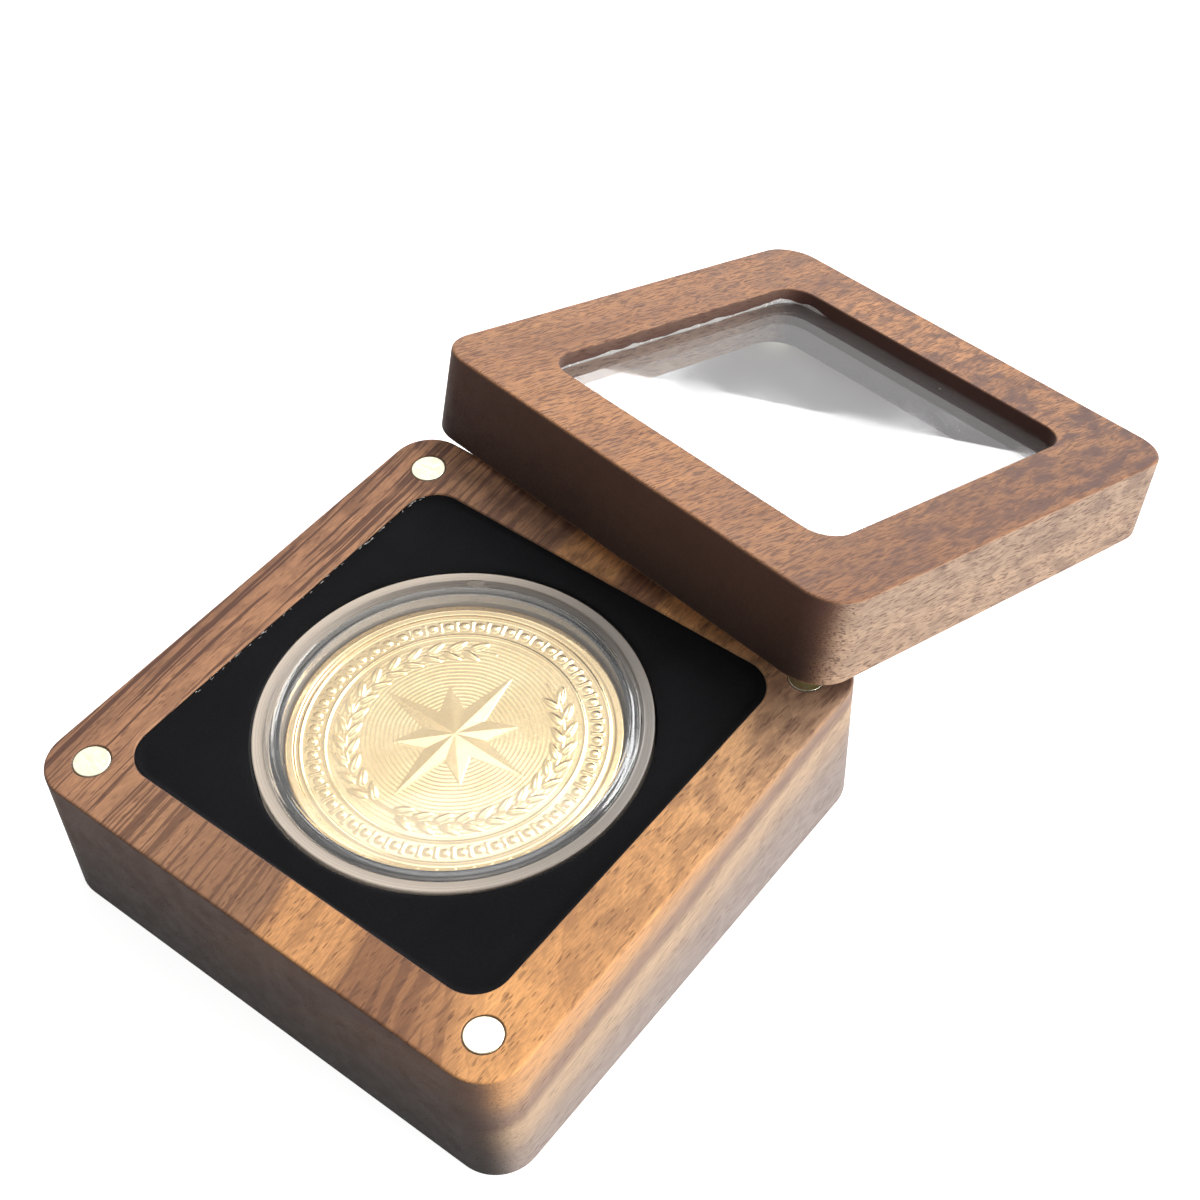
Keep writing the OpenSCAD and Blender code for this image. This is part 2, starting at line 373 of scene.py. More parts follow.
# Painted sheen: the faces towards ±X are paled towards a light colour, as a sheen would pale them.
painted_side_sheen = times(skin, side_mask, given["Painted Side Sheen"])
wood = mix_color(skin, painted_side_sheen, given["Ring Color"], given["Painted Sheen Color"])
for mask in (mottle_dark, fibre_dark, lines, strokes, pore_dark):
    wood = mix_color(skin, mask, wood, given["Dark Wood"])
end_wood = mix_color(skin, remap(skin, fibres, 0.35, 0.65, 0.05, 0.1), given["End Color"], wood)
# Painted shade: the end faces are darkened towards their foot.
painted_foot_shade = remap(skin, split.outputs[2], given["Painted Shade From"], given["Painted Shade To"], 0.1, 1.0)
end_wood = mix_color(skin, painted_foot_shade, (0, 0, 0, 1), end_wood)
wood = mix_color(skin, end_mask, wood, end_wood)
wear_and_shade_attr = add_node(skin, "Attribute", attribute_name="edge")
worn_mask = times(skin, calc(skin, "MAXIMUM", wear_and_shade_attr.outputs["Fac"], 0.0),
                 remap(skin, fibres, 0.35, 0.7, 0.1, 0.45))
wood = mix_color(skin, worn_mask, wood, given["Ring Color"])
# Painted shade: below zero the edge attribute darkens the wood, on the lid's window and recess walls.
painted_wall_shade = calc(skin, "MAXIMUM", times(skin, wear_and_shade_attr.outputs["Fac"], -1.0), 0.0)
wood = mix_color(skin, painted_wall_shade, wood, given["Dark Wood"])
dull = calc(skin, "MULTIPLY_ADD", pores, 0.2, remap(skin, mottle, 0.3, 0.7, 0.5, 0.6))
dull = calc(skin, "MULTIPLY_ADD", end_mask, 0.15, dull)
relief = calc(skin, "SUBTRACT", times(skin, fibres, 0.3), pores)
relief = calc(skin, "SUBTRACT", relief, times(skin, strokes, 0.5))
feed(skin, skin_out, {"Color": wood, "Roughness": dull, "Height": relief})


def walnut(name, log_values, skin_values, ring_colors, grain):
    """Oiled walnut: the shared log and surface with a block's own pith, rings and figure.

    Each ring is its distance from the pith in millimetres, its colour, and how strongly the fine
    lines show there. Grain is the matrix that turns the log's grain into the block.
    """
    material, tree, shader = new_material(name)
    where = add_node(tree, "TexCoord")
    turn = grain.to_euler()
    spot = add_node(tree, "Mapping", {
        "Vector": where.outputs["Object"], "Location": grain.to_translation(), "Rotation": turn},
        vector_type="TEXTURE")
    normal = add_node(tree, "Mapping", {
        "Vector": where.outputs["Normal"], "Rotation": turn}, vector_type="TEXTURE")
    log = add_node(tree, "Group", node_tree=walnut_log)
    feed(tree, log, {"Vector": spot.outputs[0], **log_values})
    first, last = ring_colors[0][0], ring_colors[-1][0]
    share = add_node(tree, "MapRange", {
        "Value": log.outputs["Ring"], "From Min": first, "From Max": last})
    ramp = add_node(tree, "ValToRGB", {0: share.outputs[0]})
    while len(ramp.color_ramp.elements) < len(ring_colors):
        ramp.color_ramp.elements.new(0.5)
    for element, (radius, color) in zip(ramp.color_ramp.elements, ring_colors):
        element.position = (radius - first) / (last - first)
        element.color = color
    surface = add_node(tree, "Group", node_tree=skin)
    # The pale side colour given here is painted sheen.
    feed(tree, surface, {
        "Place": log.outputs["Place"], "Ring": log.outputs["Ring"], "Normal": normal.outputs[0],
        "Ring Color": ramp.outputs[0], "Ring Lines": ramp.outputs[1],
        "Painted Sheen Color": (0.8, 0.66, 0.51, 1), **skin_values})
    feed(tree, shader, {
        "Base Color": surface.outputs["Color"], "Roughness": surface.outputs["Roughness"],
        "Specular IOR Level": 0.2, "Sheen Weight": 0.15, "Sheen Roughness": 0.45,
        "Sheen Tint": (1.0, 0.93, 0.9, 1)})
    add_bump(tree, shader, surface.outputs["Height"], 0.5, 0.06 * MM)
    return material


# The base's ring colours are partly the wood's own tone and partly painted light: the rings under the right
# rail are made paler where the light fell stronger.
BASE_RING_TONES_AND_LIGHT = (
    (16.0, (0.4, 0.335, 0.31, 0.1)), (19.0, (0.41, 0.33, 0.29, 0.1)), (22.0, (0.44, 0.34, 0.28, 0.1)),
    (24.0, (0.56, 0.4, 0.29, 0.1)), (25.5, (0.64, 0.45, 0.3, 0.1)), (27.5, (0.7, 0.49, 0.32, 0.1)),
    (28.5, (0.48, 0.32, 0.21, 0.3)), (29.4, (0.345, 0.215, 0.16, 0.3)), (30.5, (0.38, 0.24, 0.17, 0.3)),
    (32.0, (0.58, 0.345, 0.2, 0.3)), (33.3, (0.76, 0.41, 0.19, 0.1)), (35.0, (0.87, 0.44, 0.18, 0.1)),
    (36.2, (0.84, 0.42, 0.172, 0.2)), (36.9, (0.82, 0.4, 0.16, 0.2)), (37.9, (0.95, 0.465, 0.175, 0.2)),
    (38.7, (1.0, 0.495, 0.19, 0.2)), (39.4, (0.6, 0.29, 0.128, 0.4)), (40.2, (0.45, 0.215, 0.101, 0.5)),
    (41.5, (0.34, 0.161, 0.079, 0.5)), (43.2, (0.35, 0.166, 0.081, 0.5)), (44.0, (0.68, 0.33, 0.138, 0.3)),
    (45.5, (0.82, 0.4, 0.161, 0.2)), (49.0, (0.77, 0.375, 0.152, 0.2)), (50.0, (0.72, 0.35, 0.148, 0.3)),
    (50.6, (0.37, 0.192, 0.102, 0.55)), (57.0, (0.39, 0.2, 0.108, 0.65)), (62.0, (0.46, 0.24, 0.128, 0.75)),
    (68.0, (0.52, 0.268, 0.142, 0.9)), (71.5, (0.52, 0.264, 0.142, 1.0)), (73.4, (0.52, 0.262, 0.141, 1.0)),
    (75.2, (0.38, 0.193, 0.107, 1.0)), (80.0, (0.4, 0.202, 0.111, 1.0)))
BASE_GRAIN = Matrix.Rotation(radians(7.1), 4, "X")
base_walnut = walnut("base walnut", {
    "Pith X": 33.0, "Pith Z": -14.0, "Wander": 3.0, "Curl": 0.25}, {
    "Line Gap": 0.4, "Line Depth": 0.85, "Stroke Width": 0.45, "Stroke Length": 4.0, "Stroke Share": 0.37,
    "Stroke Depth": 0.43, "Pore Depth": 0.5, "Mottle Depth": 0.36, "Dark Wood": (0.1, 0.045, 0.033, 1),
    "Darkening Way": (0.0, 0.016, 0.0), "Painted Side Sheen": 0.06, "End Color": (0.105, 0.055, 0.042, 1),
    "Painted Shade From": 3.0, "Painted Shade To": 26.0}, BASE_RING_TONES_AND_LIGHT, BASE_GRAIN)

bm = bmesh.new()
outer = outline(CASE_HALF, CASE_CORNER_R)
inner = outline(RECESS_HALF, RECESS_CORNER_R)
foot_edge, top_edge = block_walls(bm, outer, BASE_H, EASE)
fill(bm, foot_edge)
recess = band(bm, inner, (
    (-INNER_EASE, BASE_H), (0, BASE_H - INNER_EASE, LIP_WEAR), (0, BASE_H - RECESS_DEPTH)))
fill(bm, recess[-1])
mouths = [pocket(bm, spot, BASE_H, 1) for spot in MAGNET_SPOTS.values()]
fill(bm, top_edge, recess[0], *mouths)
finish_piece("base_block_wood", bm, base_walnut, "base", ["base_block"])


# Magnets: eight nickel-plated discs, pressed and glued into their pockets, four in the base and
# four in the lid. The plating is cream-white and dulled by handling, and one disc is chipped.
MAGNET_R = 2.2 * MM
MAGNET_T = 3 * MM
MAGNET_SINK = 0.05 * MM
MAGNET_EASE = 0.14 * MM
MAGNET_STEPS = 64
PLATE_RINGS = (0.995, 0.9, 0.7, 0.45, 0.2)
CHIP_AT = Vector((0.35, 0.45)) * MAGNET_R
CHIP_R = 0.5 * MM
CHIP_DEPTH = 0.12 * MM
GLUE_SINK = 0.12 * MM
GLUE_DISH = 0.04 * MM
GLUE_DEPTH = 1.2 * MM

nickel, tree, shader = new_material("nickel plate")
scuffs = noise_value(tree, stretch(tree, object_place(tree), (900, 2600, 900)), 1.0, 4.0, 0.7)
plate = mix_color(tree, remap(tree, scuffs, 0.35, 0.75), (0.93, 0.92, 0.68, 1), (0.98, 0.97, 0.8, 1))
feed(tree, shader, {
    "Metallic": 1.0, "Base Color": plate, "Roughness": remap(tree, scuffs, 0.3, 0.7, 0.22, 0.42)})
add_bump(tree, shader, scuffs, 0.15, 0.02 * MM)

pocket_glue, tree, shader = new_material("dark pocket glue")
lumps = noise_value(tree, object_place(tree), 2500, 3.0)
feed(tree, shader, {
    "Base Color": mix_color(tree, lumps, (0.1, 0.06, 0.04, 1), (0.24, 0.15, 0.1, 1)), "Roughness": 0.35})
add_bump(tree, shader, lumps, 0.4, 0.05 * MM)


def magnet(node, centre, face_z, direction, body, matrix=None, chipped=False):
    """One disc with a rolled edge, its plated face towards direction, and the dark glue round it."""
    bm = bmesh.new()
    path = circle(centre, MAGNET_R, MAGNET_STEPS)
    steps = [(MAGNET_EASE, face_z - direction * MAGNET_T),
             (0, face_z - direction * (MAGNET_T - MAGNET_EASE))]
    for step in range(EASE_STEPS + 1):
        angle = pi / 2 * step / EASE_STEPS
        inset = MAGNET_EASE * (1 - cos(angle))
        steps.append((inset, face_z - direction * MAGNET_EASE * (1 - sin(angle))))
    for share in PLATE_RINGS:
        steps.append((MAGNET_R * (1 - share) + MAGNET_EASE * share, face_z))
    loops = band(bm, path, steps)
    fill(bm, loops[0])
    fill(bm, loops[-1])
    if chipped:
        for vert in loops[-2] + loops[-3] + loops[-4]:
            off = (vert.co.xy - Vector(centre) - CHIP_AT).length
            vert.co.z -= direction * CHIP_DEPTH * max(0.0, 1 - off / CHIP_R)
    finish_piece(node + "_disc", bm, nickel, body, [node], matrix)

    bm = bmesh.new()
    gap = POCKET_R - MAGNET_R
    top = face_z - direction * GLUE_SINK
    low = face_z - direction * GLUE_DEPTH
    band(bm, path, (
        (-0.1 * gap, low), (-0.1 * gap, top), (-0.5 * gap, top - direction * GLUE_DISH),
        (-0.9 * gap, top), (-0.9 * gap, low)), closed=True)
    finish_piece(node + "_glue", bm, pocket_glue, body, (), matrix)


for corner, centre in MAGNET_SPOTS.items():
    magnet("base_magnet_" + corner, centre, BASE_H - MAGNET_SINK, 1, "base", chipped=corner == "far")


# Insert foam: two layers of black closed-cell foam, die-cut square with the recess's corners.
# The lower pad is whole and carries the capsule, the upper ring holds it by its rim.
PAD_LOW, PAD_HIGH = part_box("insert_pad")
RING_LOW, RING_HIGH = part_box("insert_ring")
INSERT_HALF = PAD_HIGH.x
INSERT_CORNER_R = 4.2 * MM
SEAT_R = 23.85 * MM
CAPSULE_R = 23.5 * MM
FOAM_ROUND = 0.5 * MM
FOAM_STEPS = 3
FACE_SHARES = (0.15, 0.4, 0.7, 0.9, 0.98, 1.0)
DENT = 0.12 * MM
DENT_SCALES = (0.98, 0.9, 0.6, 0.3)

foam, tree, shader = new_material("black foam")
cells = add_node(tree, "TexVoronoi", {"Vector": object_place(tree), "Scale": 4200.0})
cell_wall = remap(tree, cells.outputs["Distance"], 0.1, 0.6)
feed(tree, shader, {
    "Base Color": mix_color(tree, cell_wall, (0.006, 0.006, 0.007, 1), (0.03, 0.03, 0.032, 1)),
    "Roughness": remap(tree, cell_wall, 0, 1, 0.75, 0.95), "Specular IOR Level": 0.25})
add_bump(tree, shader, cell_wall, 0.6, 0.12 * MM)


def square_to_round(bm, path, share, radius, inset, z):
    """A loop between the square path (share 0) and a circle of this radius (share 1)."""
    made = []
    for point, out in path:
        square = point - out * inset
        around = point.normalized() * radius
        spot = square.lerp(around, share)
        made.append(bm.verts.new((spot.x, spot.y, z)))
    return made


def foam_layer(name, low_z, high_z, hole_r, dent_r=0.0):
    """A slab with soft edges, with a round hole or a shallow round dent."""
    bm = bmesh.new()
    path = outline(INSERT_HALF, INSERT_CORNER_R)
    loops = []
    for z, way in ((low_z, -1), (high_z, 1)):
        for step in range(FOAM_STEPS + 1)[::way]:
            angle = pi / 2 * step / FOAM_STEPS
            inset = FOAM_ROUND * (1 - cos(angle))
            height = z - way * FOAM_ROUND * (1 - sin(angle))
            loops.append(square_to_round(bm, path, 0, 0, inset, height))
    goal = hole_r or dent_r
    for share in FACE_SHARES:
        loops.append(square_to_round(bm, path, share, goal, FOAM_ROUND, high_z))
    if hole_r:
        for share in reversed(FACE_SHARES):
            loops.append(square_to_round(bm, path, share, goal, FOAM_ROUND, low_z))
        loft(bm, loops + loops[:1])
    else:
        for scale in DENT_SCALES:
            loops.append(square_to_round(bm, path, 1, goal * scale, 0, high_z - DENT))
        loft(bm, loops)
        fill(bm, loops[-1])
        fill(bm, loops[0])
    piece = finish_piece(name + "_foam", bm, foam, "base", [name])


foam_layer("insert_pad", PAD_LOW.z, PAD_HIGH.z, 0, CAPSULE_R)
foam_layer("insert_ring", RING_LOW.z, RING_HIGH.z, SEAT_R)


# Velvet facing: black short-pile cloth, stretched over the foam ring and glued down. Its cut edge
# frays against the wood, and it rolls down into the hole round the capsule.
FACING_LOW, FACING_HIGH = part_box("insert_facing")
EDGE_RISE = 0.52 * MM
EDGE_FRAY = 0.14 * MM
EDGE_REACH = 0.24 * MM
EDGE_SHARE = 0.06
ROLL_SHARE = 0.12
ROLL_DROP = 0.22 * MM
RIPPLE = 0.05 * MM
FACE_SINK = 0.08 * MM
FACING_RINGS = 26
FRINGE_COUNT = 900
FRINGE_RISE = 0.3 * MM
FIBRE_WIDTH = 0.025 * MM
LINT_COUNT = 60
LINT_MAX_X = -26 * MM
LINT_MIN_Y = -16 * MM

velvet, tree, shader = new_material("black velvet")
where = object_place(tree)
pile = noise_value(tree, where, 5200, 3.0, 0.6)
brushed = noise_value(tree, stretch(tree, where, (120, 60, 120)), 1.0, 3.0, 0.6)
pile_shade = times(tree, pile, brushed)
feed(tree, shader, {
    "Base Color": mix_color(tree, pile_shade, (0.004, 0.004, 0.0045, 1), (0.017, 0.017, 0.019, 1)),
    "Roughness": 0.95, "Specular IOR Level": 0.1, "Sheen Weight": 0.05, "Sheen Roughness": 0.5,
    "Sheen Tint": (0.6, 0.62, 0.7, 1)})
add_bump(tree, shader, pile, 0.7, 0.15 * MM)

lint, tree, shader = new_material("pale lint")
flecked = noise_value(tree, object_place(tree), 3000)
feed(tree, shader, {
    "Base Color": mix_color(tree, flecked, (0.5, 0.45, 0.42, 1), (0.9, 0.87, 0.84, 1)), "Roughness": 0.9})

bm = bmesh.new()
path = outline(FACING_HIGH.x, INSERT_CORNER_R)
top_loops, low_loops = [], []
for step in range(FACING_RINGS + 1):
    share = step / FACING_RINGS
    spread = share ** 1.6
    near_hole = max(0.0, 1 - (1 - share) / ROLL_SHARE)
    near_wood = max(0.0, 1 - spread / EDGE_SHARE)
    top_loop = square_to_round(bm, path, spread, SEAT_R, -EDGE_REACH * near_wood, FACING_HIGH.z)
    low_loop = square_to_round(bm, path, spread, SEAT_R, -EDGE_REACH * near_wood, FACING_LOW.z)
    for upper_vert, lower_vert in zip(top_loop, low_loop):
        ripple = noise.noise(upper_vert.co * 260) * RIPPLE
        fray = (0.5 + 0.5 * noise.noise(upper_vert.co * 1500)) * EDGE_FRAY
        curl = near_wood ** 1.5 * (EDGE_RISE - fray)
        roll = near_hole ** 3 * ROLL_DROP
        upper_vert.co.z += ripple - FACE_SINK + curl * 1.1 - roll
        lower_vert.co.z += curl
    top_loops.append(top_loop)
    low_loops.append(low_loop)
loft(bm, top_loops)
loft(bm, low_loops)
bridge(bm, top_loops[0], low_loops[0])
bridge(bm, top_loops[-1], low_loops[-1])
facing = finish_piece("insert_facing_velvet", bm, velvet, "base", ["insert_facing"], sharp=70)


def strand(bm, root, tip, width):
    """One fibre: a thin three-sided spike from root to tip."""
    along = (tip - root).normalized()
    side = along.orthogonal().normalized() * width
    base = [bm.verts.new(root + Matrix.Rotation(2 * pi * k / 3, 3, along) @ side) for k in range(3)]
    point = bm.verts.new(tip)
    bm.faces.new(base)
    for k in range(3):
        bm.faces.new((base[k], base[(k + 1) % 3], point))


rng = random.Random(7)
bm = bmesh.new()
for _ in range(FRINGE_COUNT):
    point, out = rng.choice(path)
    along = Vector((-out.y, out.x)) * rng.uniform(-0.6, 0.6) * MM
    root = Vector((*(point - out * rng.uniform(-0.2, 0.1) * MM + along), FACING_HIGH.z + FRINGE_RISE))
    lean = out * rng.uniform(-0.2, 0.12) * MM + along * 0.3
    tip = root + Vector((lean.x, lean.y, rng.uniform(0.05, 0.35) * MM))
    strand(bm, root, tip, FIBRE_WIDTH)
fringe = finish_piece("insert_facing_fringe", bm, velvet, "base", (), sharp=180)

left_rail = [entry for entry in path if entry[0].x < LINT_MAX_X and entry[0].y > LINT_MIN_Y]
bm = bmesh.new()
for _ in range(LINT_COUNT):
    point, out = rng.choice(left_rail)
    along = Vector((-out.y, out.x))
    foot = point - out * rng.uniform(-0.25, 0.1) * MM
    root = Vector((*foot, FACING_HIGH.z + rng.uniform(0.35, 0.5) * MM))
    lean = along * rng.uniform(-0.9, 0.9) * MM + out * rng.uniform(-0.15, 0.15) * MM
    tip = root + Vector((lean.x, lean.y, rng.uniform(0, 0.1) * MM))
    strand(bm, root, tip, rng.uniform(0.025, 0.075) * MM)
flecks = finish_piece("insert_facing_lint", bm, lint, "base", (), sharp=180)


# Coin capsule: two moulded shells of clear acrylic that snap together round the coin. Their broad
# rims are moulded slightly frosted, and a notch in the seam takes a thumb nail. The pale colour of
# the frosted rims and of the inner walls is partly painted light, for light the clear acrylic carries.
CAPSULE_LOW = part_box("capsule_bottom")[0].z
CAPSULE_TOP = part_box("capsule_cover")[1].z
CAPSULE_H = CAPSULE_TOP - CAPSULE_LOW
SHELL_T = 1.2 * MM
SPIGOT_IR = 20.25 * MM
SPIGOT_OR = 21.55 * MM
SKIRT_IR = 21.65 * MM
SHELL_PLAY = 0.1 * MM
SHELL_ROUND = 0.4 * MM
SMALL_ROUND = 0.15 * MM
GROOVE_ROUND = SMALL_ROUND / 2
PARTING = CAPSULE_H / 2
NOTCH_ANGLE = radians(124)
NOTCH_HALF = 1.5 * MM
NOTCH_DEPTH = 0.8 * MM
NOTCH_HALF_H = 0.4 * MM
LATHE_STEPS = 192
FLANGE_DROP = 0.35 * MM
SHOULDER_R = 22.3 * MM
SHOULDER_W = 0.45 * MM
GROOVE_R = 20.9 * MM
GROOVE_W = 0.25 * MM
GROOVE_DEPTH = 0.14 * MM
NOTCH_REACH = 1.1 * MM
RIM_FROM = SHOULDER_R - 0.05 * MM
WALL_FROM = SPIGOT_IR - 0.1 * MM
WALL_TO = SKIRT_IR + 0.1 * MM
ARC_STEPS = 4
ACRYLIC_IOR = 1.49


def acrylic(name, roughness, color, transmission):
    """Clear plastic: glass for the eye, with shadow rays let through so it isn't black inside."""
    material, tree, shader = new_material(name)
    smears = noise_value(tree, object_place(tree), 90, 4.0, 0.6)
    feed(tree, shader, {
        "Base Color": color, "Transmission Weight": transmission, "IOR": ACRYLIC_IOR,
        "Roughness": remap(tree, smears, 0.35, 0.7, roughness, roughness + 0.05)})
    clear = add_node(tree, "BsdfTransparent", {"Color": (0.93, 0.93, 0.93, 1)})
    rays = add_node(tree, "LightPath").outputs
    passing = calc(tree, "MAXIMUM", rays["Is Shadow Ray"], rays["Is Diffuse Ray"])
    mixed = add_node(tree, "MixShader", {0: passing, 1: shader.outputs[0], 2: clear.outputs[0]})
    feed(tree, tree.nodes["Material Output"], {"Surface": mixed.outputs[0]})
    return material


clear_acrylic = acrylic("clear acrylic", 0.02, (1, 1, 1, 1), 1.0)
# Partly painted light: the pale colours of the drawn walls and the frosted rim stand in for light carried
# inside the clear acrylic.
wall_haze_and_light = acrylic("drawn acrylic wall with painted light", 0.1, (0.8, 0.76, 0.71, 1), 0.72)
rim_frost_and_light = acrylic("frosted acrylic rim with painted light", 0.28, (0.5, 0.44, 0.38, 1), 0.3)
tree = rim_frost_and_light.node_tree
shader = tree.nodes["Principled BSDF"]
flat_place = stretch(tree, object_place(tree), (1, 1, 0))
from_axis = vector_calc(tree, "LENGTH", flat_place, output="Value")
turned = add_node(tree, "CombineXYZ", {0: from_axis})
turned_lines = noise_value(tree, turned.outputs[0], 4200, 3.0, 0.7)
frost_and_painted_light = mix_color(tree, remap(tree, turned_lines, 0.3, 0.7), (0.45, 0.38, 0.31, 1), (0.92, 0.8, 0.68, 1))
# Painted shade: the rim darkens towards one side, towards +X and +Y.
painted_side_shade = vector_calc(tree, "DOT_PRODUCT", flat_place, (0.8, 0.6, 0), output="Value")
painted_side_shade = remap(tree, painted_side_shade, -0.006, 0.024, 0.0, 0.7)
feed(tree, shader, {"Base Color": mix_color(tree, painted_side_shade, frost_and_painted_light, (0.12, 0.11, 0.1, 1))})
add_bump(tree, shader, turned_lines, 0.5, 0.08 * MM)


def rounded_profile(corners):
    """Rounds each (radius, height, round) corner of a section into a short arc."""
    points = []
    count = len(corners)
    for i, (r, z, round_r) in enumerate(corners):
        here = Vector((r, z))
        if not round_r:
            points.append(here)
            continue
        before = Vector(corners[i - 1][:2])
        after = Vector(corners[(i + 1) % count][:2])
        start = here + (before - here).normalized() * round_r
        end = here + (after - here).normalized() * round_r
        for step in range(ARC_STEPS + 1):
            t = step / ARC_STEPS
            points.append(start.lerp(here, t).lerp(here.lerp(end, t), t))
    return points


def lathe(bm, profile):
    """Turns a section round the Z axis; a point on the axis becomes a pole."""
    turns = [2 * pi * k / LATHE_STEPS for k in range(LATHE_STEPS)]
    loops = []
    for point in profile:
        if point.x < 1e-6:
            loops.append([bm.verts.new((0, 0, point.y))])
        else:
            loops.append([bm.verts.new((point.x * cos(turn), point.x * sin(turn), point.y))
                          for turn in turns])
    for first, second in zip(loops, loops[1:]):
        if len(first) == 1:
            for k in range(LATHE_STEPS):
                bm.faces.new((first[0], second[k], second[(k + 1) % LATHE_STEPS]))
        elif len(second) == 1:
            for k in range(LATHE_STEPS):
                bm.faces.new((first[k], second[0], first[(k + 1) % LATHE_STEPS]))
        else:
            bridge(bm, first, second)


def cut_notch(bm, low, high):
    """Pushes the rim inwards at the thumb notch."""
    for vert in bm.verts:
        flat = vert.co.xy
        if flat.length < CAPSULE_R - NOTCH_REACH or not low <= vert.co.z <= high:
            continue
        angle = atan2(flat.y, flat.x) - NOTCH_ANGLE
        off = flat.length * sin(angle)
        facing_out = cos(angle) > 0
        depth = 1 - (off / NOTCH_HALF) ** 2
        if facing_out and depth > 0:
            vert.co.xy = flat.normalized() * (flat.length - NOTCH_DEPTH * sqrt(depth))


def shell(name, corners, body):
    """One shell, turned from its section: clear, with a frosted rim and drawn inner walls, whose pale
    colour is partly painted light.
    """
    bm = bmesh.new()
    lathe(bm, [point + Vector((0, CAPSULE_LOW)) for point in rounded_profile(corners)])
    cut_notch(bm, CAPSULE_LOW + PARTING - NOTCH_HALF_H, CAPSULE_LOW + PARTING + SHELL_PLAY + NOTCH_HALF_H)
    piece = finish_piece(name + "_shell", bm, clear_acrylic, body, [name], sharp=50)
    piece.data.materials.append(rim_frost_and_light)
    piece.data.materials.append(wall_haze_and_light)
    for face in piece.data.polygons:
        reach = hypot(face.center.x, face.center.y)
        if reach > RIM_FROM:
            face.material_index = 1
        elif WALL_FROM < reach < WALL_TO and abs(face.normal.z) < 0.5:
            face.material_index = 2


spigot_top = CAPSULE_H - SHELL_T - SHELL_PLAY
cover_foot = PARTING + SHELL_PLAY
flange_top = CAPSULE_H - FLANGE_DROP
shell("capsule_bottom", [
    (0, 0, 0), (CAPSULE_R, 0, SHELL_ROUND), (CAPSULE_R, PARTING - NOTCH_HALF_H, 0),
    (CAPSULE_R, PARTING, SMALL_ROUND), (SPIGOT_OR, PARTING, 0), (SPIGOT_OR, spigot_top, SMALL_ROUND),
    (SPIGOT_IR, spigot_top, SMALL_ROUND), (SPIGOT_IR, SHELL_T, SMALL_ROUND), (0, SHELL_T, 0)], "capsule")
shell("capsule_cover", [
    (0, CAPSULE_H - SHELL_T, 0), (SKIRT_IR, CAPSULE_H - SHELL_T, SMALL_ROUND),
    (SKIRT_IR, cover_foot, 0), (CAPSULE_R, cover_foot, SMALL_ROUND),
    (CAPSULE_R, cover_foot + NOTCH_HALF_H, 0), (CAPSULE_R, flange_top, SMALL_ROUND),
    (SHOULDER_R, flange_top, SMALL_ROUND), (SHOULDER_R - SHOULDER_W, CAPSULE_H, SMALL_ROUND),
    (GROOVE_R + GROOVE_W, CAPSULE_H, GROOVE_ROUND), (GROOVE_R, CAPSULE_H - GROOVE_DEPTH, GROOVE_ROUND),
    (GROOVE_R - GROOVE_W, CAPSULE_H, GROOVE_ROUND), (0, CAPSULE_H, 0)], "cover")


# Coin: struck brass with a bright pale gold plate. A raised rim guards a faceted compass star on
# an engine-turned field, a laurel wreath and a border of beads, and the edge is reeded.
COIN_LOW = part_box("coin")[0].z
COIN_T = 2.5 * MM
COIN_R = 20 * MM
FACE_R = COIN_R / MM - 0.2
RIM_W = 1.1
RIM_RISE = 0.25
STAR_LONG = 10.6
STAR_SHORT = 7.4
STAR_HOLLOW = 3.9
STAR_RISE = 0.2
STAR_STEP = 0.03
WREATH_R = 12.8
LEAF_PAIRS = 13
LEAF_STEP = 0.2
LEAF_ROW = 0.8
LEAF_LEAN = 0.55
LEAF_LONG = 1.35
LEAF_WIDE = 0.5
LEAF_RISE = 0.16
BORDER_RINGS = (15.3, 18.2)
BEAD_R = 16.75
BEADS = 54
REEDS = 150
REED_DEPTH = 0.05 * MM
REED_INSET = 0.12 * MM
COIN_STEPS = 600
COIN_RINGS = 216


def smooth_step(values, low, high):
    """From 0 at low to 1 at high, in an even curve."""
    t = np.clip((values - low) / (high - low), 0, 1)
    return t * t * (3 - 2 * t)


def star_height(r, theta):
    """Planar facets that fall from the centre to an outline of long and short points."""
    sector = 2 * np.pi / 8
    index = np.round(theta / sector)
    off = np.abs(theta - index * sector)
    long_point = (index.astype(int) % 2) == 0
    tip = np.where(long_point, STAR_LONG, STAR_SHORT)
    half = sector / 2
    edge = tip * STAR_HOLLOW * np.sin(half) / (STAR_HOLLOW * np.sin(half - off) + tip * np.sin(off))
    share = r / edge
    inside = share < 1
    return np.where(inside, STAR_RISE * (1 - share) + STAR_STEP, 0), inside


